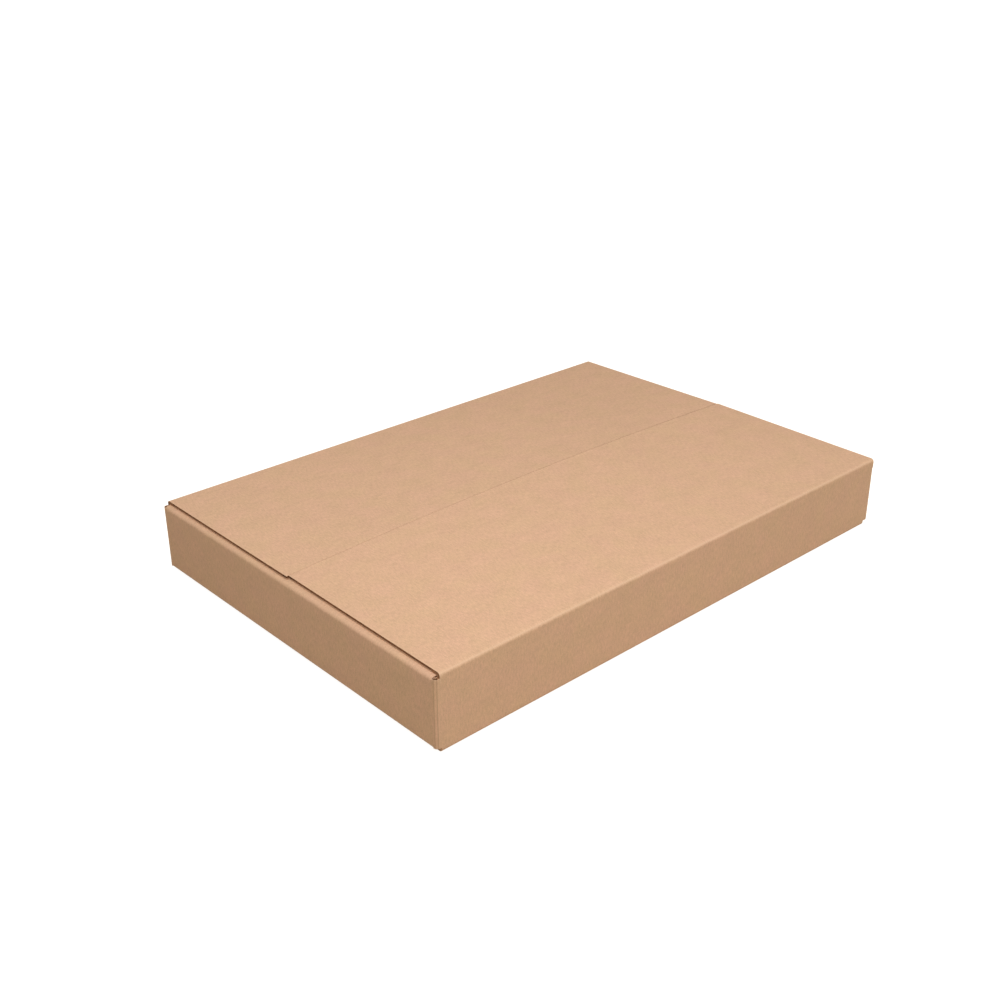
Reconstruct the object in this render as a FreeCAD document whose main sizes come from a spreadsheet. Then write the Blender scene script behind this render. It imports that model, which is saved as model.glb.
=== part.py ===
import FreeCAD, Part
import math
import os

import Sketcher

# Shallow carton of single-wall corrugated kraft board, closed, standing on its bottom flaps.
# Millimetres, +Z up. The origin is the middle of the footprint, on the surface the carton stands on.
# X runs along the long walls, Y along the end walls; "left" is -X and "front" is -Y.
# The board is one blank: four walls in a ring, a glue tab, and four flaps above and four below.
# The two outer top flaps swing on their creases, so each is a solid of its own.

doc = FreeCAD.newDocument("shallow_carton")
sizes = doc.addObject("Spreadsheet::Sheet", "sizes")

DRIVING_SIZES = (
    ("box_length", 430.0, "outside, along the long walls"),
    ("box_width", 300.0, "outside, along the end walls"),
    ("box_height", 54.0, "outside, floor to the top of the outer flaps"),
    ("board", 2.5, "thickness of the corrugated board"),
    ("crease_radius", 2.5, "outside radius of every folded crease"),
    ("ply_gap", 0.2, "air between an outer flap and the inner flap under it"),
    ("top_seam_gap", 0.3, "between the outer top flaps' free edges"),
    ("bottom_seam_gap", 0.5, "between the outer bottom flaps' free edges"),
    ("crease_strip", 2.5, "flat strip of an outer top flap, beside its rounded crease"),
    ("flap_bow", 4.6, "how far the middle of an outer top flap's free edge springs up"),
    ("right_end_lift", 1.6, "how far the right end of that edge stands above its left end"),
    ("inner_flap_reach", 148.0, "inner flap, from the outside of its end wall to its free edge"),
    ("flap_side_gap", 0.6, "inner flap's side edge, clear of the long wall beside it"),
    ("slot_run", 1.1, "how far each corner slot is cut past the long wall's crease"),
    ("joint_slot_gap", 1.0, "inner flap's side edge, clear of the glue tab's crease"),
    ("step_drop", 0.3, "cut step in the long wall's edge, below the end wall's crease"),
    ("front_left_inset", 3.9, "front top flap's left edge, in from the end wall, at the crease"),
    ("front_left_inset_seam", 5.3, "the same edge at the seam"),
    ("front_right_overhang", 0.6, "front top flap's right edge, out past the end wall"),
    ("rear_left_inset", 4.1, "rear top flap's left edge, in from the end wall, at the crease"),
    ("rear_left_inset_seam", 3.6, "the same edge at the seam"),
    ("rear_right_inset", 0.4, "rear top flap's right edge, in from the end wall"),
    ("bottom_flap_inset", 4.0, "outer bottom flaps' side edges, in from the end walls"),
    ("tab_reach", 35.0, "glue tab, from the outside of the end wall to its free edge"),
    ("tab_taper", 8.0, "how much the tab narrows at each end, towards its free edge"),
)
for row, (alias, value, meaning) in enumerate(DRIVING_SIZES, start=1):
    sizes.set(f"A{row}", alias)
    sizes.set(f"B{row}", str(value))
    sizes.setAlias(f"B{row}", alias)
    sizes.set(f"C{row}", meaning)
doc.recompute()

# Planes and lengths that several panels share, written in terms of the sheet.
HALF_X = "sizes.box_length / 2"
HALF_Y = "sizes.box_width / 2"
HEIGHT = "sizes.box_height"
BOARD = "sizes.board"
RADIUS = "sizes.crease_radius"
INNER_FACE = "(sizes.board + sizes.ply_gap)"
INNER_BACK = "(2 * sizes.board + sizes.ply_gap)"
BAND = "(sizes.board + sizes.ply_gap + sizes.crease_radius)"
SLOT = "(sizes.crease_radius + sizes.slot_run)"
SIDE = "(max(sizes.board; sizes.crease_radius) + sizes.flap_side_gap)"
JOINT_SIDE = "(sizes.board + sizes.crease_radius + sizes.joint_slot_gap)"
STRIP = "(max(sizes.board; sizes.crease_radius) + sizes.crease_strip)"
# A quarter round is met at its middle by the mitre: this share of the radius lies outside it.
MITRE_SHARE = round(1 - math.sqrt(0.5), 6)
MITRE = f"({MITRE_SHARE} * {RADIUS})"
# The cusp beside the glued joint is filled to where the quarter round has turned 30 degrees.
GLUE_ACROSS = "(0.5 * sizes.crease_radius)"
GLUE_ALONG = f"({round(1 - math.cos(math.radians(30)), 6)} * sizes.crease_radius)"


def minus(text):
    """The same length measured the other way."""
    return f"-({text})"


def origin_plane(body, role):
    """One of the body's own three base planes."""
    return next(feature for feature in body.Origin.OriginFeatures if feature.Role == role)


def new_body(name):
    """An empty body whose label is the name of its file."""
    body = doc.addObject("PartDesign::Body", name)
    body.Label = name
    body.Placement = FreeCAD.Placement()
    return body


def closed_loop(sketch, corners):
    """Adds one closed outline. A corner is (x, y), and (x, y, cx, cy, radius, turn) where an arc about
    (cx, cy) leads to the next corner, anticlockwise for a turn of 1 and clockwise for -1."""
    values = [[float(sketch.evalExpression(part)) for part in corner[:5]] for corner in corners]
    geometry = []
    for index, (corner, here) in enumerate(zip(corners, values)):
        there = values[(index + 1) % len(corners)]
        if len(corner) == 2:
            start = FreeCAD.Vector(here[0], here[1], 0)
            geometry.append(Part.LineSegment(start, FreeCAD.Vector(there[0], there[1], 0)))
            continue
        centre = FreeCAD.Vector(here[2], here[3], 0)
        ends = (here, there) if corner[5] > 0 else (there, here)
        angles = [math.atan2(end[1] - centre.y, end[0] - centre.x) for end in ends]
        if angles[1] < angles[0]:
            angles[1] += 2 * math.pi
        circle = Part.Circle(centre, FreeCAD.Vector(0, 0, 1), here[4])
        geometry.append(Part.ArcOfCircle(circle, angles[0], angles[1]))
    edges = sketch.addGeometry(geometry, False)

    def bind(expression, kind, *place):
        value = float(sketch.evalExpression(expression))
        number = sketch.addConstraint(Sketcher.Constraint(kind, *place, value))
        sketch.setExpression(f"Constraints[{number}]", expression)

    for index, corner in enumerate(corners):
        start_point, end_point = (2, 1) if corner[-1] == -1 else (1, 2)
        following = corners[(index + 1) % len(corners)]
        next_start = 2 if following[-1] == -1 else 1
        next_edge = edges[(index + 1) % len(corners)]
        sketch.addConstraint(
            Sketcher.Constraint("Coincident", edges[index], end_point, next_edge, next_start)
        )
        for kind, axis, expression in (("DistanceX", -2, corner[0]), ("DistanceY", -1, corner[1])):
            if expression == "0":
                sketch.addConstraint(
                    Sketcher.Constraint("PointOnObject", edges[index], start_point, axis)
                )
            else:
                bind(expression, kind, -1, 1, edges[index], start_point)
        if len(corner) > 2:
            bind(corner[4], "Radius", edges[index])


def sketch_on(body, name, role, offset, *loops):
    """A sketch on one of the body's base planes, moved along its normal by the offset."""
    sketch = body.newObject("Sketcher::SketchObject", name)
    sketch.AttachmentSupport = (origin_plane(body, role), [""])
    sketch.MapMode = "FlatFace"
    sketch.setExpression("AttachmentOffset.Base.z", offset)
    doc.recompute()
    for corners in loops:
        closed_loop(sketch, corners)
    doc.recompute()
    return sketch


def pad(body, name, sketch, length):
    """Raises the sketch along its own normal."""
    feature = body.newObject("PartDesign::Pad", name)
    feature.Profile = sketch
    feature.setExpression("Length", length)
    feature.Refine = True
    sketch.Visibility = False
    doc.recompute()
    return feature


def mirrored(corners, sign):
    """The outline as it is for sign 1, and mirrored left to right for sign -1."""
    if sign > 0:
        return corners
    flipped = []
    for index in range(len(corners)):
        # The edge that leaves a corner of the mirrored outline is the one that used to arrive there.
        corner = corners[-index]
        edge = corners[-index - 1]
        point = (minus(corner[0]), corner[1])
        flipped.append(point if len(edge) == 2 else point + (minus(edge[2]), *edge[3:]))
    return flipped


# Carton body: the glued ring of walls with every flap that stays shut.
carton_body = new_body("carton_body")

FRONT = minus(HALF_Y)
RIGHT_JOINT = [
    (HALF_X, FRONT),
    (HALF_X, f"-{HALF_Y} + {BOARD}"),
    (f"{HALF_X} - {GLUE_ACROSS}", f"-{HALF_Y} + {BOARD}"),
    (
        f"{HALF_X} - {GLUE_ACROSS}",
        f"-{HALF_Y} + {BOARD} + {GLUE_ALONG}",
        f"{HALF_X} - {RADIUS}",
        f"-{HALF_Y} + {BOARD} + {RADIUS}",
        RADIUS,
        1,
    ),
    (HALF_X, f"-{HALF_Y} + {BOARD} + {RADIUS}"),
]
FRONT_LEFT_CREASE = (
    minus(HALF_X),
    f"-{HALF_Y} + {RADIUS}",
    f"-{HALF_X} + {RADIUS}",
    f"-{HALF_Y} + {RADIUS}",
    RADIUS,
    1,
)
REAR_LEFT_CREASE = (
    f"-{HALF_X} + {RADIUS}",
    HALF_Y,
    f"-{HALF_X} + {RADIUS}",
    f"{HALF_Y} - {RADIUS}",
    RADIUS,
    1,
)
REAR_RIGHT_CREASE = (
    HALF_X,
    f"{HALF_Y} - {RADIUS}",
    f"{HALF_X} - {RADIUS}",
    f"{HALF_Y} - {RADIUS}",
    RADIUS,
    1,
)

# The ring between the end walls' creases. The front wall's raw edge shows at the front right corner.
ring_outside = [
    FRONT_LEFT_CREASE,
    (f"-{HALF_X} + {RADIUS}", FRONT),
    *RIGHT_JOINT,
    REAR_RIGHT_CREASE,
    (f"{HALF_X} - {RADIUS}", HALF_Y),
    REAR_LEFT_CREASE,
    (minus(HALF_X), f"{HALF_Y} - {RADIUS}"),
]
ring_inside = [
    (f"-{HALF_X} + {BOARD}", f"-{HALF_Y} + {BOARD}"),
    (f"{HALF_X} - {BOARD}", f"-{HALF_Y} + {BOARD}"),
    (f"{HALF_X} - {BOARD}", f"{HALF_Y} - {BOARD}"),
    (f"-{HALF_X} + {BOARD}", f"{HALF_Y} - {BOARD}"),
]
wall_ring = sketch_on(carton_body, "wall_ring", "XY_Plane", BAND, ring_outside, ring_inside)
pad(carton_body, "wall_ring_board", wall_ring, f"{HEIGHT} - 2 * {BAND}")

# The long walls and the corners beside them reach up and down to the bottoms of the corner slots.
front_wall_outline = [
    (minus(HALF_X), f"-{HALF_Y} + {SIDE}"),
    FRONT_LEFT_CREASE,
    (f"-{HALF_X} + {RADIUS}", FRONT),
    *RIGHT_JOINT,
    (HALF_X, f"-{HALF_Y} + {JOINT_SIDE}"),
    (f"{HALF_X} - {BOARD}", f"-{HALF_Y} + {JOINT_SIDE}"),
    (f"{HALF_X} - {BOARD}", f"-{HALF_Y} + {BOARD}"),
    (f"-{HALF_X} + {BOARD}", f"-{HALF_Y} + {BOARD}"),
    (f"-{HALF_X} + {BOARD}", f"-{HALF_Y} + {SIDE}"),
]
rear_wall_outline = [
    (HALF_X, f"{HALF_Y} - {SIDE}"),
    REAR_RIGHT_CREASE,
    (f"{HALF_X} - {RADIUS}", HALF_Y),
    REAR_LEFT_CREASE,
    (minus(HALF_X), f"{HALF_Y} - {RADIUS}"),
    (minus(HALF_X), f"{HALF_Y} - {SIDE}"),
    (f"-{HALF_X} + {BOARD}", f"{HALF_Y} - {SIDE}"),
    (f"-{HALF_X} + {BOARD}", f"{HALF_Y} - {BOARD}"),
    (f"{HALF_X} - {BOARD}", f"{HALF_Y} - {BOARD}"),
    (f"{HALF_X} - {BOARD}", f"{HALF_Y} - {SIDE}"),
]
for wall_name, wall_outline in (("front_wall", front_wall_outline), ("rear_wall", rear_wall_outline)):
    wall_sketch = sketch_on(carton_body, f"{wall_name}_outline", "XY_Plane", SLOT, wall_outline)
    pad(carton_body, wall_name, wall_sketch, f"{HEIGHT} - 2 * {SLOT}")

# Each end wall with its two inner flaps, one folded in above and one below, under the outer flaps.
left_end_section = [
    (f"-{HALF_X} + sizes.inner_flap_reach", INNER_FACE),
    (f"-{HALF_X} + sizes.inner_flap_reach", INNER_BACK),
    (f"-{HALF_X} + {BOARD}", INNER_BACK),
    (f"-{HALF_X} + {BOARD}", f"{HEIGHT} - {INNER_BACK}"),
    (f"-{HALF_X} + sizes.inner_flap_reach", f"{HEIGHT} - {INNER_BACK}"),
    (f"-{HALF_X} + sizes.inner_flap_reach", f"{HEIGHT} - {INNER_FACE}"),
    (
        f"-{HALF_X} + {RADIUS}",
        f"{HEIGHT} - {INNER_FACE}",
        f"-{HALF_X} + {RADIUS}",
        f"{HEIGHT} - {BAND}",
        RADIUS,
        1,
    ),
    (minus(HALF_X), f"{HEIGHT} - {BAND}"),
    (minus(HALF_X), BAND, f"-{HALF_X} + {RADIUS}", BAND, RADIUS, 1),
    (f"-{HALF_X} + {RADIUS}", INNER_FACE),
]
left_end = sketch_on(
    carton_body, "left_end_section", "XZ_Plane", f"-{HALF_Y} + {SIDE}", left_end_section
)
pad(carton_body, "left_end_and_inner_flaps", left_end, f"sizes.box_width - 2 * {SIDE}")
right_end = sketch_on(
    carton_body,
    "right_end_section",
    "XZ_Plane",
    f"-{HALF_Y} + {SIDE}",
    mirrored(left_end_section, -1),
)
pad(
    carton_body,
    "right_end_and_inner_flaps",
    right_end,
    f"sizes.box_width - {SIDE} - {JOINT_SIDE}",
)

# The outer bottom flaps, folded under the inner ones from the feet of the long walls.
front_bottom_section = [
    (minus("sizes.bottom_seam_gap / 2"), "0"),
    (minus("sizes.bottom_seam_gap / 2"), BOARD),
    (f"-{HALF_Y} + {BOARD}", BOARD),
    (f"-{HALF_Y} + {BOARD}", f"{HEIGHT} / 2"),
    (FRONT, f"{HEIGHT} / 2"),
    (FRONT, RADIUS, f"-{HALF_Y} + {RADIUS}", RADIUS, RADIUS, 1),
    (f"-{HALF_Y} + {RADIUS}", "0"),
]
# The long walls' upper edges, mitred where the outer top flaps hinge.
front_edge_section = [
    (FRONT, f"{HEIGHT} - {BAND} - sizes.step_drop"),
    (f"-{HALF_Y} + {BOARD}", f"{HEIGHT} - {BAND} - sizes.step_drop"),
    (f"-{HALF_Y} + {BOARD}", f"{HEIGHT} - {BOARD}"),
    (
        f"-{HALF_Y} + {MITRE}",
        f"{HEIGHT} - {MITRE}",
        f"-{HALF_Y} + {RADIUS}",
        f"{HEIGHT} - {RADIUS}",
        RADIUS,
        1,
    ),
    (FRONT, f"{HEIGHT} - {RADIUS}"),
]
EDGE_SPANS = {
    "front": (f"-{HALF_X} + sizes.front_left_inset", f"{HALF_X} + sizes.front_right_overhang"),
    "rear": (f"-{HALF_X} + sizes.rear_left_inset", f"{HALF_X} - sizes.rear_right_inset"),
}
for side, sign in (("front", 1), ("rear", -1)):
    bottom_sketch = sketch_on(
        carton_body,
        f"{side}_bottom_section",
        "YZ_Plane",
        f"-{HALF_X} + sizes.bottom_flap_inset",
        mirrored(front_bottom_section, sign),
    )
    pad(
        carton_body,
        f"{side}_bottom_flap",
        bottom_sketch,
        "sizes.box_length - 2 * sizes.bottom_flap_inset",
    )
    edge_start, edge_end = EDGE_SPANS[side]
    edge_sketch = sketch_on(
        carton_body,
        f"{side}_upper_edge_section",
        "YZ_Plane",
        edge_start,
        mirrored(front_edge_section, sign),
    )
    pad(carton_body, f"{side}_upper_edge", edge_sketch, f"{edge_end} - ({edge_start})")

# The glue tab turns in from the right end wall and lies against the inside of the front wall.
tab_outline = [
    (f"{HALF_X} - {BOARD}", BAND),
    (f"{HALF_X} - {BOARD}", f"{HEIGHT} - {BAND}"),
    (f"{HALF_X} - sizes.tab_reach", f"{HEIGHT} - {BAND} - sizes.tab_taper"),
    (f"{HALF_X} - sizes.tab_reach", f"{BAND} + sizes.tab_taper"),
]
tab_sketch = sketch_on(
    carton_body, "glue_tab_outline", "XZ_Plane", f"{HALF_Y} - 2 * {BOARD}", tab_outline
)
pad(carton_body, "glue_tab", tab_sketch, BOARD)


def top_flap(name, sign, left_crease, right_crease, left_seam, right_seam):
    """An outer top flap. Its hinged edge is half of the rounded, mitred crease and a flat strip, and from
    there the panel springs up evenly to an arched free edge, straight along its flutes. sign is 1 for
    the front flap and -1 for the rear one; the other values place its side edges."""
    body = new_body(name)
    strip_section = [
        (f"-{HALF_Y} + {BOARD}", f"{HEIGHT} - {BOARD}"),
        (f"-{HALF_Y} + {STRIP}", f"{HEIGHT} - {BOARD}"),
        (f"-{HALF_Y} + {STRIP}", HEIGHT),
        (
            f"-{HALF_Y} + {RADIUS}",
            HEIGHT,
            f"-{HALF_Y} + {RADIUS}",
            f"{HEIGHT} - {RADIUS}",
            RADIUS,
            1,
        ),
        (f"-{HALF_Y} + {MITRE}", f"{HEIGHT} - {MITRE}"),
    ]
    strip = sketch_on(
        body, f"{name}_strip_section", "YZ_Plane", left_crease, mirrored(strip_section, sign)
    )
    pad(body, f"{name}_strip", strip, f"{right_crease} - ({left_crease})")

    straight_edge = [
        (left_crease, f"{HEIGHT} - {BOARD}"),
        (right_crease, f"{HEIGHT} - {BOARD}"),
        (right_crease, HEIGHT),
        (left_crease, HEIGHT),
    ]
    near = sketch_on(
        body, f"{name}_panel_start", "XZ_Plane", f"{sign} * ({HALF_Y} - {STRIP})", straight_edge
    )

    span = f"({right_seam} - ({left_seam}))"
    bow_radius = f"({span} ^ 2 / (8 * sizes.flap_bow) + sizes.flap_bow / 2)"
    middle_x = f"({left_seam} + {span} / 2)"
    centre_x = f"({middle_x} + sizes.right_end_lift / {span} * ({bow_radius} - sizes.flap_bow))"
    middle_z = f"({HEIGHT} + sizes.right_end_lift / 2)"
    centre_z = f"({middle_z} - {bow_radius} + sizes.flap_bow)"
    arched_edge = [
        (
            left_seam,
            f"{HEIGHT} - {BOARD}",
            centre_x,
            f"{centre_z} - {BOARD}",
            bow_radius,
            -1,
        ),
        (right_seam, f"{HEIGHT} - {BOARD} + sizes.right_end_lift"),
        (right_seam, f"{HEIGHT} + sizes.right_end_lift", centre_x, centre_z, bow_radius, 1),
        (left_seam, HEIGHT),
    ]
    far = sketch_on(
        body, f"{name}_free_edge", "XZ_Plane", f"{sign} * sizes.top_seam_gap / 2", arched_edge
    )
    panel = body.newObject("PartDesign::AdditiveLoft", f"{name}_panel")
    panel.Profile = near
    panel.Sections = [(far, [""])]
    panel.Ruled = True
    near.Visibility = far.Visibility = False
    doc.recompute()
    return body


front_top_flap = top_flap(
    "front_top_flap",
    1,
    left_crease=f"-{HALF_X} + sizes.front_left_inset",
    right_crease=f"{HALF_X} + sizes.front_right_overhang",
    left_seam=f"-{HALF_X} + sizes.front_left_inset_seam",
    right_seam=f"{HALF_X} + sizes.front_right_overhang",
)
rear_top_flap = top_flap(
    "rear_top_flap",
    -1,
    left_crease=f"-{HALF_X} + sizes.rear_left_inset",
    right_crease=f"{HALF_X} - sizes.rear_right_inset",
    left_seam=f"-{HALF_X} + sizes.rear_left_inset_seam",
    right_seam=f"{HALF_X} - sizes.rear_right_inset",
)

doc.recompute()
for item in doc.Objects:
    if "Invalid" in item.State or "Error" in item.State:
        raise RuntimeError(f"{item.Label} is in state {item.State}")
SUB_PARTS = (carton_body, front_top_flap, rear_top_flap)
for part in SUB_PARTS:
    if part.Shape.isNull() or not part.Shape.isValid() or len(part.Shape.Solids) != 1:
        raise RuntimeError(f"{part.Label} isn't one valid solid")

os.makedirs("parts", exist_ok=True)
for part in SUB_PARTS:
    part.Shape.exportStep(f"parts/{part.Label}.step")
    box = part.Shape.BoundBox
    print(part.Label, f"{part.Shape.Volume / 1000:.1f} cm3", box)
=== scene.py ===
"""A shallow carton of kraft corrugated board, closed, lying on a white floor.

Metres, +Z up, in the carton's own frame: X along the long walls, Y along the end walls.
"""

import math

import bmesh
import bpy
import numpy as np
from mathutils import Matrix, Vector


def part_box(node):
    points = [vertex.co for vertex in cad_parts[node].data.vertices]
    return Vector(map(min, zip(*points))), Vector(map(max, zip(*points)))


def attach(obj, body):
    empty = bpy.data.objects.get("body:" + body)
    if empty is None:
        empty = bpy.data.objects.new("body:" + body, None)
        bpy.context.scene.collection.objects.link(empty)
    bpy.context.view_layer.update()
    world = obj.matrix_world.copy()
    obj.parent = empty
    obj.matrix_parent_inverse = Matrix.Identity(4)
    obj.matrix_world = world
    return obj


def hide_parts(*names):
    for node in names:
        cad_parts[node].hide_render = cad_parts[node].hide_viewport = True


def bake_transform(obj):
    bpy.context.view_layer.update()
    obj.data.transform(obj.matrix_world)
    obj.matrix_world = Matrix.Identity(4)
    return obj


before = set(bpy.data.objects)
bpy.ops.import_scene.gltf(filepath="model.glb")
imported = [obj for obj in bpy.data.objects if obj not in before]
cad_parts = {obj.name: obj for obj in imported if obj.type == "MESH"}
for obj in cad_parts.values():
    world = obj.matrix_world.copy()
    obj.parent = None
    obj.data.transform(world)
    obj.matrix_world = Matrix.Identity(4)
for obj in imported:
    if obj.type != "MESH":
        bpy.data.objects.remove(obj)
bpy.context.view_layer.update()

# Board and carton
# Single-wall board, cut from one blank so that its flutes stand upright in the walls.
MM = 0.001
BOARD = 2.5 * MM
LINER = 0.3 * MM
MEDIUM = 0.24 * MM
FLUTE_PITCH = 6.4 * MM
FLUTE_DEPTH = 5 * MM
SIDE_RECESS = 0.6 * MM
MEDIUM_SETBACK = 0.15 * MM
CREASE = 2.5 * MM
CREASE_CRUSH = 0.14
PLY_GAP = 0.2 * MM
SHARP_ANGLE = math.radians(32)

# How far apart the lines of a piece's grid lie.
FLAP_PITCH = 12 * MM
WALL_PITCH = 8 * MM
LONG_WALL_PITCH = 9 * MM
END_WALL_PITCH = 10 * MM
LID_PITCH = 7 * MM
HINGE_STRIP_PITCH = 0.8 * MM
HINGE_PITCH = 0.35 * MM
FOLD_PITCH = 0.5 * MM
JOINT_PITCH = 0.4 * MM
CORNER_PITCH = 0.2 * MM
END_BAND = 2 * MM

body_low, body_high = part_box("carton_body")
HALF_X = -body_low[0]
HALF_Y = body_high[1]
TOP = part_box("front_top_flap")[0][2] + BOARD
INNER_PLY = BOARD + PLY_GAP
SLOT_CLEARANCE = 1.1 * MM
SLOT_FOOT = CREASE + SLOT_CLEARANCE
BOTTOM_SIDE_INSET = 4 * MM
HINGE_STRIP_HEIGHT = 7 * MM
HINGE_STRIP_FOOT = TOP - HINGE_STRIP_HEIGHT


class Signal:
    """A socket of a material's node tree. Arithmetic on it adds Math nodes, and node() adds any other."""

    def __init__(self, tree, socket=None):
        self.tree = tree
        self.socket = socket

    def node(self, kind, sockets, output=0, **settings):
        """Adds a node. Its settings come first, then its sockets' values or links."""
        made = self.tree.nodes.new(kind)
        for setting, value in settings.items():
            setattr(made, setting, value)
        for key, value in sockets.items():
            if isinstance(value, Signal):
                self.tree.links.new(value.socket, made.inputs[key])
            else:
                made.inputs[key].default_value = value
        return Signal(self.tree, made.outputs[output] if made.outputs else None)

    def math(self, operation, *values):
        return self.node("ShaderNodeMath", dict(enumerate(values)), operation=operation)

    def __add__(self, other):
        return self.math("ADD", self, other)

    __radd__ = __add__

    def __sub__(self, other):
        return self.math("SUBTRACT", self, other)

    def __rsub__(self, other):
        return self.math("SUBTRACT", other, self)

    def __mul__(self, other):
        return self.math("MULTIPLY", self, other)

    __rmul__ = __mul__

    def step(self, low, high):
        """0 below low, 1 above high, and an even slope between."""
        return self.node(
            "ShaderNodeMapRange", {"Value": self, "From Min": low, "From Max": high}, clamp=True
        )


def mixed(share, plain, other, blend="MIX"):
    """The plain colour where share is 0 and the other where it is 1."""
    anchor = next(value for value in (share, plain, other) if isinstance(value, Signal))
    return anchor.node(
        "ShaderNodeMix",
        {0: share, 6: plain, 7: other},
        output=2,
        data_type="RGBA",
        blend_type=blend,
    )


def kraft_board(name):
    """Kraft board. The pattern lies on the flat blank: attribute sheet holds the place across the flutes,
    along them and through the thickness, rim the distance to the nearest cut edge or highlit fold, score
    the distance to the nearest score line, and crushed is 1 where a fold has shut the flutes. Near cut
    edges and highlit folds the paper is lighter, partly painted highlight; score lines get painted shade."""
    material = bpy.data.materials.new(name)
    material.use_nodes = True
    tree = material.node_tree
    tree.nodes.clear()
    root = Signal(tree)
    sheet = root.node("ShaderNodeAttribute", {}, output="Vector", attribute_name="sheet")
    rim = root.node("ShaderNodeAttribute", {}, output="Fac", attribute_name="rim")
    score = root.node("ShaderNodeAttribute", {}, output="Fac", attribute_name="score")
    crushed = root.node("ShaderNodeAttribute", {}, output="Fac", attribute_name="crushed")
    depth = root.node("ShaderNodeSeparateXYZ", {0: sheet}, output=2)

    def noise(scale, detail, roughness=0.5, vector=sheet):
        sockets = {"Vector": vector, "Scale": scale, "Detail": detail, "Roughness": roughness}
        return root.node("ShaderNodeTexNoise", sockets)

    clouds = noise(9, 2)
    mottle = noise(75, 3)
    warmth = noise(48, 2, vector=root.node("ShaderNodeVectorMath", {0: sheet, 1: (3, 5, 7)}))
    along = root.node("ShaderNodeVectorMath", {0: sheet, 1: (1, 0.35, 1)}, operation="MULTIPLY")
    fibre = noise(820, 4, 0.65, vector=along)
    grit = noise(1700, 2, 0.6)

    liner = mixed(
        warmth.step(0.35, 0.65), (0.705, 0.455, 0.285, 1), (0.725, 0.452, 0.298, 1)
    )
    light = (
        1.0
        + (clouds - 0.5) * 0.05
        + (mottle - 0.5) * 0.14
        + (fibre - 0.5) * 0.52
        + (grit - 0.5) * 0.50
    )
    fleck = fibre.step(0.30, 0.24) * 0.16
    light = light - fleck
    brightness = root.node("ShaderNodeCombineColor", {0: light, 1: light, 2: light})
    paper = mixed(1.0, liner, brightness, blend="MULTIPLY")
    # Lighter within a millimetre of cut edges and highlit folds. At cut edges this is partly the fuzzy
    # cut paper's own lighter tone and partly a painted highlight; along a fold's crest it is a painted
    # highlight.
    fray_and_highlight = rim.step(0.9 * MM, 0.1 * MM) * 0.45
    paper = mixed(fray_and_highlight, paper, (0.80, 0.56, 0.38, 1))
    # A dark line along each score line: painted shade of the pressed groove.
    paper = mixed(score.step(0.45 * MM, 0.05 * MM) * 0.45, paper, (0.33, 0.19, 0.11, 1))

    # Between the liners the board shows its medium, much darker than the liner: partly the medium's own
    # darker tone, partly painted shade of the hollow flutes.
    inside_board = depth.step(LINER * 0.98, LINER * 1.02) * depth.step(
        BOARD - LINER * 0.98, BOARD - LINER * 1.02
    )
    flute_paper_and_shade = mixed(fibre.step(0.35, 0.7), (0.23, 0.105, 0.048, 1), (0.42, 0.215, 0.11, 1))
    color = mixed(inside_board * (1 - crushed), paper, flute_paper_and_shade)

    bump = root.node(
        "ShaderNodeBump",
        {"Strength": 0.25, "Distance": 0.12 * MM, "Height": fibre * 0.6 + mottle * 0.8 + grit * 0.3},
    )
    surface = root.node(
        "ShaderNodeBsdfPrincipled",
        {
            "Base Color": color,
            "Roughness": 0.78 + (mottle - 0.5) * 0.16,
            "Specular IOR Level": 0.22,
            "Normal": bump,
        },
    )
    root.node("ShaderNodeOutputMaterial", {"Surface": surface})
    return material


kraft = kraft_board("kraft_liner")


def spread(*marks, pitch):
    """Lines at each mark, and evenly between two marks no further apart than the pitch."""
    spans = [
        np.linspace(low, high, max(1, round((high - low) / pitch)) + 1)[:-1]
        for low, high in zip(marks, marks[1:])
    ]
    return np.concatenate([*spans, marks[-1:]])


def fold_line(start, legs):
    """The outer face of a folded run of board, as a function of the length along it. The run sets off
    from start towards -1, and turns to the right at each bend. legs lists ("run", length) and
    ("bend", radius). The function gives the place and the outward normal, both in the fold's plane."""
    edges, places, headings = [0.0], [np.array(start)], [np.array([-1.0, 0.0])]
    for kind, size in legs:
        heading, place = headings[-1], places[-1]
        side = np.array([heading[1], -heading[0]])
        if kind == "run":
            edges.append(edges[-1] + size)
            places.append(place + size * heading)
            headings.append(heading)
        else:
            edges.append(edges[-1] + size * math.pi / 2)
            places.append(place + size * (heading + side))
            headings.append(side)

    def outer_face(s):
        place = np.empty(s.shape + (2,))
        normal = np.empty(s.shape + (2,))
        crush = np.zeros(s.shape)
        for index, (kind, size) in enumerate(legs):
            here = s >= edges[index] - 1e-9
            heading = headings[index]
            side = np.array([heading[1], -heading[0]])
            ahead = s[here] - edges[index]
            if kind == "run":
                place[here] = places[index] + ahead[:, None] * heading
                normal[here] = -side
                crush[here] = 0
                continue
            turn = (ahead / size)[:, None]
            out = -side * np.cos(turn) + heading * np.sin(turn)
            place[here] = places[index] + size * side + size * out
            normal[here] = out
            crush[here] = np.sin(np.clip(2 * ahead / size, 0, math.pi))
        return place, normal, crush

    return outer_face, edges


def at_depth(outer_face, length, depth):
    """The place at a depth under a folded run's outer face. The board is a little thinner in a crease,
    where its flutes are crushed."""
    flat, normal, crush = outer_face(length)
    return flat - normal * (depth * (1 - CREASE_CRUSH * crush))[..., None]


def folded_place(outer_face, to_frame):
    """Where a point of the board lies when the folds run across s."""

    def place(s, w, u):
        s, w, u = np.broadcast_arrays(s, w, u)
        across = at_depth(outer_face, s, w)
        return to_frame(u, across[..., 0], across[..., 1])

    return place


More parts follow.
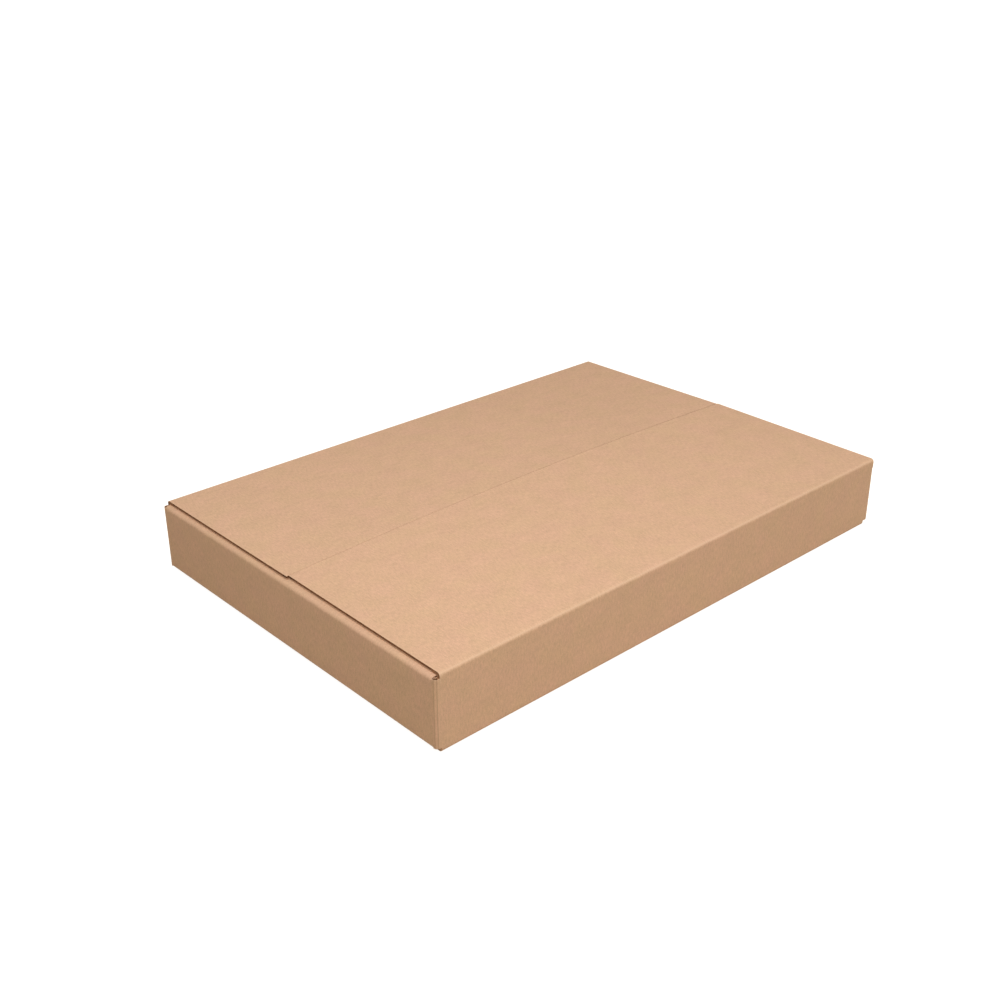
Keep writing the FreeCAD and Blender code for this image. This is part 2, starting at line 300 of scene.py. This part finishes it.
def upright_place(outer_face, side_x, side_y):
    """Where a point of an upright crease lies: u runs round the crease and s up it."""

    def place(s, w, u):
        s, w, u = np.broadcast_arrays(s, w, u)
        across = at_depth(outer_face, u, w)
        return np.stack([side_x * across[..., 0], side_y * across[..., 1], s], -1)

    return place


def cell_surface(nodes, filled):
    """Quads of the outside of a block of cells: each one parts a filled cell from an empty one. nodes
    numbers the corners of the cells."""
    quads = []
    for axis in range(3):
        margin = [(1, 1) if other == axis else (0, 0) for other in range(3)]
        change = np.diff(np.pad(filled.astype(int), margin), axis=axis)
        p, q, r = np.nonzero(np.moveaxis(change, axis, 0))
        corner = np.moveaxis(nodes, axis, 0)
        quads.append(
            np.stack(
                [corner[p, q, r], corner[p, q + 1, r], corner[p, q + 1, r + 1], corner[p, q, r + 1]], 1
            )
        )
    return np.concatenate(quads)


def board_piece(
    name,
    place,
    s_lines,
    u_lines,
    blank,
    cut,
    fluted=(True, True),
    grooved=None,
    kept=None,
    scores=(),
    pressed=(),
    highlit_folds=(),
):
    """A piece of board. s runs along the flutes, w from the outer face through the thickness and u across
    the flutes. blank is where s = 0 and u = 0 lie on the flat blank, and cut says which of the piece's
    two s ends and two u ends are cut edges. scores lists the u of pressed score lines, drawn dark with
    painted shade, pressed the stretches of s where a fold has pressed the liners together, and
    highlit_folds the s of folds whose crest gets a painted highlight line.

    A cut across the flutes leaves them open, with the wavy medium between the two liners; fluted says
    which s ends are like that. A cut along them leaves a shallow groove; grooved(s) says where the two u
    ends have it. kept(s, u) says which cells of a panel are there."""
    w_lines = np.array([0, LINER, BOARD - LINER, BOARD])
    filled = np.ones((len(s_lines) - 1, 3, len(u_lines) - 1), bool)
    s_middle = (s_lines[1:] + s_lines[:-1]) / 2
    u_middle = (u_lines[1:] + u_lines[:-1]) / 2
    if kept is not None:
        filled &= kept(s_middle[:, None], u_middle[None, :])[:, None, :]
    if grooved is not None:
        filled[:, 1, 0] &= ~grooved(s_middle)[0]
        filled[:, 1, -1] &= ~grooved(s_middle)[1]
    filled[0, 1] &= not fluted[0]
    filled[-1, 1] &= not fluted[1]
    blocks = [(s_lines, w_lines, u_lines, filled)]

    waves = np.arange(u_lines[0] + SIDE_RECESS, u_lines[-1] - SIDE_RECESS, FLUTE_PITCH / 12)
    crest = (BOARD / 2 - LINER - MEDIUM / 2) * np.sin(2 * math.pi * waves / FLUTE_PITCH)
    wave_depth = BOARD / 2 + crest + np.array([[-MEDIUM / 2], [MEDIUM / 2]])
    flute_mouths = (
        (s_lines[0] + MEDIUM_SETBACK, s_lines[1]),
        (s_lines[-2], s_lines[-1] - MEDIUM_SETBACK),
    )
    for is_open, mouth in zip(fluted, flute_mouths):
        if is_open:
            cells = np.ones((1, 1, len(waves) - 1), bool)
            blocks.append((np.array(mouth), wave_depth, waves, cells))

    points, sheet, rim, score, crushed, quads, total = [], [], [], [], [], [], 0
    for s, w, u, cells in blocks:
        w = w[None, :, None] if w.ndim == 1 else w[None]
        s3, w3, u3 = np.broadcast_arrays(s[:, None, None], w, u[None, None, :])
        points.append(place(s3, w3, u3).reshape(-1, 3))
        sheet.append(np.stack([u3 + blank[1], s3 + blank[0], w3], -1).reshape(-1, 3))
        shut = [np.zeros(s3.shape, bool), *((s3 > low) & (s3 < high) for low, high in pressed)]
        crushed.append(np.any(shut, 0).ravel())
        reaches = (s3 - s_lines[0], s_lines[-1] - s3, u3 - u_lines[0], u_lines[-1] - u3)
        far = np.ones(s3.shape)
        edges_and_folds = [reach for reach, is_cut in zip(reaches, cut) if is_cut]
        edges_and_folds += [np.abs(s3 - fold) for fold in highlit_folds]
        rim.append(np.min([far, *edges_and_folds], 0).ravel())
        score.append(np.min([far, *(np.abs(u3 - line) for line in scores)], 0).ravel())
        numbers = np.arange(s3.size).reshape(s3.shape) + total
        quads.append(cell_surface(numbers, cells))
        total += s3.size
    points, sheet, rim, score, crushed, quads = (
        np.concatenate(part) for part in (points, sheet, rim, score, crushed, quads)
    )
    used, quads = np.unique(quads, return_inverse=True)
    mesh = bpy.data.meshes.new(name)
    mesh.from_pydata(points[used], [], quads.reshape(-1, 4))
    mesh.attributes.new("sheet", "FLOAT_VECTOR", "POINT").data.foreach_set(
        "vector", sheet[used].astype(np.float32).ravel()
    )
    for layer, values in (("rim", rim), ("score", score), ("crushed", crushed)):
        mesh.attributes.new(layer, "FLOAT", "POINT").data.foreach_set(
            "value", np.clip(values[used], 0, 1).astype(np.float32)
        )
    shell = bmesh.new()
    shell.from_mesh(mesh)
    bmesh.ops.recalc_face_normals(shell, faces=shell.faces)
    shell.to_mesh(mesh)
    shell.free()
    mesh.shade_smooth()
    mesh.set_sharp_from_angle(angle=SHARP_ANGLE)
    mesh.materials.append(kraft)
    piece = bpy.data.objects.new(name, mesh)
    bpy.context.scene.collection.objects.link(piece)
    return piece


# Long walls and bottom flaps
# Each long wall and the outer bottom flap at its foot are one run of board, creased at the floor and
# folded inwards under the carton.
def along_x(side):
    """Folds of a long wall lie in the YZ plane; side is 1 at the front and -1 at the rear."""
    return lambda u, across, up: np.stack([u, side * across, up], -1)


BOTTOM_SEAM = 0.5 * MM
wall_face, wall_edges = fold_line(
    (-BOTTOM_SEAM / 2, 0),
    [
        ("run", HALF_Y - CREASE - BOTTOM_SEAM / 2),
        ("bend", CREASE),
        ("run", TOP - CREASE - SLOT_FOOT),
    ],
)
floor_crease, wall_foot = wall_edges[1], wall_edges[2]


def wall_height(z):
    """Length along the long wall's board at the height z."""
    return wall_foot + z - CREASE


RAW_EDGE = HALF_X
SLOT_TOP = TOP - SLOT_FOOT
LONG_WALLS = {
    "front": (1, (-HALF_X + CREASE, RAW_EDGE)),
    "rear": (-1, (-HALF_X + CREASE, HALF_X - CREASE)),
}
FLAP_SIDES = {
    "front": tuple(corner[0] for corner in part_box("front_top_flap")),
    "rear": tuple(corner[0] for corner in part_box("rear_top_flap")),
}
# Where the middle of each panel column lies across the flat blank.
COLUMNS = {"front": 0.0, "right": 0.37, "rear": 0.74, "left": -0.37}
for side_name, (side, (wall_left, wall_right)) in LONG_WALLS.items():
    s_lines = np.concatenate(
        [
            spread(0, FLUTE_DEPTH, floor_crease, pitch=FLAP_PITCH)[:-1],
            spread(floor_crease, wall_foot, pitch=FOLD_PITCH)[:-1],
            spread(
                wall_foot,
                wall_height(SLOT_FOOT),
                wall_height(HINGE_STRIP_FOOT),
                wall_height(SLOT_TOP),
                pitch=WALL_PITCH,
            ),
        ]
    )
    strip_left, strip_right = FLAP_SIDES[side_name]
    strip_right = min(strip_right, wall_right)
    u_lines = spread(
        wall_left,
        strip_left,
        -HALF_X + BOTTOM_SIDE_INSET,
        -HALF_X + BOTTOM_SIDE_INSET + END_BAND,
        HALF_X - BOTTOM_SIDE_INSET,
        wall_right,
        pitch=LONG_WALL_PITCH,
    )
    u_lines = np.unique(np.round(np.append(u_lines, strip_right), 7))

    def kept(s, u):
        flap = (s < wall_height(SLOT_FOOT)) & (np.abs(u) < HALF_X - BOTTOM_SIDE_INSET)
        wall = (s > wall_height(SLOT_FOOT)) & (s < wall_height(HINGE_STRIP_FOOT))
        beside_strip = (s > wall_height(HINGE_STRIP_FOOT)) & ((u < strip_left) | (u > strip_right))
        return flap | wall | beside_strip

    wall = board_piece(
        f"{side_name}_wall",
        folded_place(wall_face, along_x(side)),
        s_lines,
        u_lines,
        blank=(0, COLUMNS[side_name]),
        cut=(True, False, False, side_name == "front"),
        pressed=[(floor_crease - MM, wall_height(SLOT_FOOT) + MM)],
        fluted=(True, False),
        kept=kept,
    )
    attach(wall, "carton")

# End walls and inner flaps
# Each end wall carries two inner flaps, folded in before the outer ones, so they lie one board's
# thickness further in. They stop short of each other and leave a gap across the middle.
INNER_REACH = 148 * MM
SIDE_GAP = 3.1 * MM
JOINT_SIDE_GAP = 6 * MM
end_face, end_edges = fold_line(
    (-HALF_X + INNER_REACH, INNER_PLY),
    [
        ("run", INNER_REACH - CREASE),
        ("bend", CREASE),
        ("run", TOP - 2 * (INNER_PLY + CREASE)),
        ("bend", CREASE),
        ("run", INNER_REACH - CREASE),
    ],
)


def along_y(side):
    """Folds of an end wall lie in the XZ plane; side is 1 at the left end and -1 at the right end."""
    return lambda u, across, up: np.stack([side * across, u, up], -1)


def grooved_flaps(s):
    """Only the flat flaps show a groove along their side edges."""
    flaps = (s < end_edges[1]) | (s > end_edges[4])
    return flaps, flaps


for side_name, side, low_y in (
    ("left", 1, -HALF_Y + SIDE_GAP),
    ("right", -1, -HALF_Y + JOINT_SIDE_GAP),
):
    s_lines = np.concatenate(
        [
            spread(0, FLUTE_DEPTH, end_edges[1], pitch=FLAP_PITCH)[:-1],
            spread(end_edges[1], end_edges[2], pitch=FOLD_PITCH)[:-1],
            spread(end_edges[2], end_edges[3], pitch=WALL_PITCH)[:-1],
            spread(end_edges[3], end_edges[4], pitch=FOLD_PITCH)[:-1],
            spread(end_edges[4], end_edges[5] - FLUTE_DEPTH, end_edges[5], pitch=FLAP_PITCH),
        ]
    )
    u_lines = spread(
        low_y,
        low_y + SIDE_RECESS,
        HALF_Y - SIDE_GAP - SIDE_RECESS,
        HALF_Y - SIDE_GAP,
        pitch=END_WALL_PITCH,
    )
    end_wall = board_piece(
        f"{side_name}_end_wall",
        folded_place(end_face, along_y(side)),
        s_lines,
        u_lines,
        blank=(0, COLUMNS[side_name]),
        cut=(True, True, False, False),
        grooved=grooved_flaps,
        pressed=[(end_edges[1] - MM, end_edges[2] + MM), (end_edges[3] - MM, end_edges[4] + MM)],
    )
    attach(end_wall, "carton")

# Corner creases
# Three corners of the carton are scored and folded upright; the fourth is the glued joint. The crease
# stops at the slots that part the flaps, a little above the floor and a little below the top.
upright_lines = spread(SLOT_FOOT, SLOT_FOOT + END_BAND, SLOT_TOP - END_BAND, SLOT_TOP, pitch=WALL_PITCH)
for corner_name, side_x, side_y, end_gap in (
    ("front_left", 1, 1, SIDE_GAP),
    ("rear_left", 1, -1, SIDE_GAP),
    ("rear_right", -1, -1, SIDE_GAP),
):
    corner_face, corner_edges = fold_line(
        (-HALF_X + CREASE, -HALF_Y), [("bend", CREASE), ("run", end_gap - CREASE)]
    )
    corner = board_piece(
        f"{corner_name}_corner",
        upright_place(corner_face, side_x, side_y),
        upright_lines,
        spread(0, corner_edges[1], corner_edges[2], pitch=CORNER_PITCH),
        blank=(wall_foot - CREASE, COLUMNS[corner_name.split("_")[0]] + side_x * HALF_X),
        cut=(True, True, False, False),
        # Two score lines down the crease, each drawn as a dark line of painted shade.
        scores=(0.25 * corner_edges[1], 0.75 * corner_edges[1]),
    )
    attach(corner, "carton")

# Glue tab
# The tab is the last strip of the blank, bent in from the right end wall and glued to the inside of the
# front wall, whose raw edge shows at that corner.
TAB_REACH = 35 * MM
TAB_TAPER = 8 * MM
TAB_BAND = INNER_PLY + CREASE
tab_middle = TOP / 2
tab_half = tab_middle - TAB_BAND


def tab_place(s, w, u):
    s, w, u = np.broadcast_arrays(s, w, u)
    share = 1 - TAB_TAPER / tab_half * u / (TAB_REACH - BOARD)
    return np.stack(
        [HALF_X - BOARD - u, -HALF_Y + BOARD + w, tab_middle + (s - tab_middle) * share], -1
    )


tab = board_piece(
    "glue_tab",
    tab_place,
    spread(
        TAB_BAND, TAB_BAND + FLUTE_DEPTH, TOP - TAB_BAND - FLUTE_DEPTH, TOP - TAB_BAND, pitch=WALL_PITCH
    ),
    spread(0, SIDE_RECESS, TAB_REACH - BOARD - SIDE_RECESS, TAB_REACH - BOARD, pitch=WALL_PITCH),
    blank=(wall_foot - CREASE, COLUMNS["right"] - HALF_Y - TAB_REACH),
    cut=(True, True, False, True),
)
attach(tab, "carton")

# The right end wall's crease at the glued corner, from the tab's root round to the end wall.
joint_face, joint_edges = fold_line(
    (-HALF_X + CREASE, -HALF_Y + BOARD), [("bend", CREASE), ("run", JOINT_SIDE_GAP - CREASE - BOARD)]
)
joint_corner = board_piece(
    "joint_corner",
    upright_place(joint_face, -1, 1),
    upright_lines,
    spread(0, joint_edges[1], joint_edges[2], pitch=JOINT_PITCH),
    blank=(wall_foot - CREASE, COLUMNS["right"] - HALF_Y),
    cut=(True, True, False, False),
)
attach(joint_corner, "carton")
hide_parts("carton_body")

# Outer top flaps and their hinge creases
# The two outer flaps fold in from the long walls and meet along the middle. Nothing holds them down, so
# their free edges spring up a few millimetres. The board is continuous through the crease. SEAM_BOW and
# RIGHT_LIFT are part.py's flap_bow and right_end_lift.
SEAM_BOW = 4.6 * MM
RIGHT_LIFT = 1.6 * MM
FLAT_STRIP = CREASE + 2.5 * MM
HINGE_REACH = 7 * MM
TOP_SEAM = 0.3 * MM
LEFT_SEAM = 0.08 * MM
RIGHT_SEAM = 0.5 * MM
# Where each flap's left and right side edges start at the crease and end at the seam.
FLAP_EDGES = {
    "front": ((-HALF_X + 3.9 * MM, -HALF_X + 5.3 * MM), (FLAP_SIDES["front"][1],) * 2),
    "rear": ((-HALF_X + 4.1 * MM, -HALF_X + 3.6 * MM), (FLAP_SIDES["rear"][1],) * 2),
}
lid_face, lid_edges = fold_line(
    (0, 0), [("run", TOP - CREASE - HINGE_STRIP_FOOT), ("bend", CREASE), ("run", HALF_Y - CREASE)]
)
lid_length = lid_edges[3] - TOP_SEAM / 2
hinge_end = lid_edges[2] + HINGE_REACH - CREASE


def lid_place(side, edges):
    """An outer flap and its crease. Past a flat strip the free edge rises, in even measure, to an arch
    that is highest near the middle of its length; the side edges run straight to their seam corners.
    The seam is nearly shut at its left end and opens evenly towards the right."""
    (left_crease, left_seam), (right_crease, right_seam) = edges

    def place(s, w, u):
        s, w, u = np.broadcast_arrays(s, w, u)
        across = at_depth(lid_face, s, w)
        y = -HALF_Y + across[..., 1]
        z = HINGE_STRIP_FOOT - across[..., 0]
        toward_seam = np.clip((HALF_Y - FLAT_STRIP + y) / (HALF_Y - FLAT_STRIP), 0, 1)
        share = (u - left_crease) / (right_crease - left_crease)
        seam = LEFT_SEAM + (RIGHT_SEAM - LEFT_SEAM) * share
        y = y + (TOP_SEAM - seam) / 2 * toward_seam
        left = left_crease + (left_seam - left_crease) * toward_seam
        right = right_crease + (right_seam - right_crease) * toward_seam
        rise = 4 * SEAM_BOW * share * (1 - share) + RIGHT_LIFT * share
        return np.stack([left + (right - left) * share, side * y, z + rise * toward_seam], -1)

    return place


def grooved_throughout(s):
    return np.ones(s.shape, bool), np.ones(s.shape, bool)


# The hinge's axis lies in the outer face of the rounded crease, halfway round it.
axis_inset = CREASE * (1 - math.sqrt(0.5))
hinge_line_y = HALF_Y - axis_inset
for side_name, side in (("front", 1), ("rear", -1)):
    edges = FLAP_EDGES[side_name]
    place = lid_place(side, edges)
    left, right = edges[0][0], edges[1][0]
    u_lines = spread(left, left + SIDE_RECESS, right - SIDE_RECESS, right, pitch=LID_PITCH)
    crease = board_piece(
        f"{side_name}_hinge_crease",
        place,
        np.concatenate(
            [
                spread(0, lid_edges[1], pitch=HINGE_STRIP_PITCH)[:-1],
                spread(lid_edges[1], lid_edges[2], pitch=HINGE_PITCH)[:-1],
                spread(lid_edges[2], hinge_end, pitch=HINGE_STRIP_PITCH),
            ]
        ),
        u_lines,
        blank=(wall_height(HINGE_STRIP_FOOT), COLUMNS[side_name]),
        cut=(False, False, True, True),
        fluted=(False, False),
        # A painted highlight line along the crest of the crease, halfway round the bend.
        highlit_folds=((lid_edges[1] + lid_edges[2]) / 2,),
    )
    reach = 2.6 * MM
    -side * (hinge_line_y + reach)
    -side * (hinge_line_y - reach)
    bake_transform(crease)
    flap = board_piece(
        f"{side_name}_flap_panel",
        place,
        spread(hinge_end, lid_length - FLUTE_DEPTH, lid_length, pitch=LID_PITCH),
        u_lines,
        blank=(wall_height(HINGE_STRIP_FOOT), COLUMNS[side_name]),
        cut=(False, False, True, True),
        fluted=(False, True),
        grooved=grooved_throughout,
    )
    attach(flap, f"{side_name}_flap")
    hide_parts(f"{side_name}_top_flap")

# Floor
# A plain white plane, a hair below the carton so that the two don't share a surface. The camera sees it
# white from above, with the carton's soft contact shadow, and looks through it from below.
FLOOR_SIZE = 6.0
FLOOR_DROP = 0.2 * MM
floor_mesh = bpy.data.meshes.new("floor")
floor_mesh.from_pydata(
    [
        (x * FLOOR_SIZE, y * FLOOR_SIZE, -FLOOR_DROP)
        for x, y in ((-1, -1), (1, -1), (1, 1), (-1, 1))
    ],
    [],
    [(0, 1, 2, 3)],
)
floor = bpy.data.objects.new("floor", floor_mesh)
bpy.context.scene.collection.objects.link(floor)
floor_paint = bpy.data.materials.new("white_floor")
floor_paint.use_nodes = True
floor_paint.node_tree.nodes.clear()
root = Signal(floor_paint.node_tree)
seen = root.node("ShaderNodeLightPath", {}, output="Is Camera Ray")
for ray in ("Is Glossy Ray", "Is Transmission Ray"):
    seen = seen.math("MAXIMUM", seen, root.node("ShaderNodeLightPath", {}, output=ray))
floor_diffuse = root.node("ShaderNodeBsdfDiffuse", {"Color": (0.5, 0.45, 0.36, 1)})
floor_glow = root.node("ShaderNodeEmission", {"Color": (1, 1, 1, 1), "Strength": seen * 0.93})
floor_mix = root.node("ShaderNodeAddShader", {0: floor_diffuse, 1: floor_glow})
from_below = root.node("ShaderNodeNewGeometry", {}, output="Backfacing")
clear_back = root.node("ShaderNodeBsdfTransparent", {})
floor_mix = root.node("ShaderNodeMixShader", {0: from_below, 1: floor_mix, 2: clear_back})
root.node("ShaderNodeOutputMaterial", {"Surface": floor_mix})
floor_mesh.materials.append(floor_paint)

# Light
# Surroundings that the camera sees white and that light the carton a little warmer, one broad lamp high
# over the near corner, and a weaker one from the right.
SKY_LIGHT = 0.38
world = bpy.data.worlds.new("studio")
bpy.context.scene.world = world
world.use_nodes = True
world.node_tree.nodes.clear()
root = Signal(world.node_tree)
seen = root.node("ShaderNodeLightPath", {}, output="Is Camera Ray")
sky_color = mixed(seen, (1, 0.94, 0.86, 1), (1, 1, 1, 1))
sky = root.node(
    "ShaderNodeBackground", {"Color": sky_color, "Strength": SKY_LIGHT + seen * (1 - SKY_LIGHT)}
)
root.node("ShaderNodeOutputWorld", {"Surface": sky})
for lamp_name, place, aim, size, power in (
    ("key_lamp", (-0.35, -0.45, 1.05), (0, 0, 0), 0.7, 8.7),
    ("side_lamp", (1.6, -1.2, 0.6), (0.1, 0, 0), 0.9, 6.8),
):
    lamp_data = bpy.data.lights.new(lamp_name, "AREA")
    lamp_data.size = size
    lamp_data.energy = power
    lamp = bpy.data.objects.new(lamp_name, lamp_data)
    lamp.location = place
    lamp.rotation_euler = (Vector(aim) - Vector(place)).to_track_quat("-Z", "Y").to_euler()
    bpy.context.scene.collection.objects.link(lamp)

# Camera
# The photograph's viewpoint, found from the carton's corners: low over the front left corner.
azimuth, elevation, roll = (math.radians(angle) for angle in (-42.265, 25.868, -0.296))
eye = Vector((-590.2, -617.4, 451.8)) * MM
back = Vector(
    (
        math.sin(azimuth) * math.cos(elevation),
        -math.cos(azimuth) * math.cos(elevation),
        math.sin(elevation),
    )
)
right = Vector((math.cos(azimuth), math.sin(azimuth), 0))
up = back.cross(right)
camera_right = math.cos(roll) * right + math.sin(roll) * up
camera_up = math.cos(roll) * up - math.sin(roll) * right
camera_data = bpy.data.cameras.new("camera")
camera_data.lens = 46.465
camera_data.sensor_width = 36
camera = bpy.data.objects.new("camera", camera_data)
turned = Matrix((camera_right, camera_up, back)).transposed().to_4x4()
camera.matrix_world = Matrix.Translation(eye) @ turned
bpy.context.scene.collection.objects.link(camera)
bpy.context.scene.camera = camera
bpy.context.scene.view_settings.view_transform = "Standard"
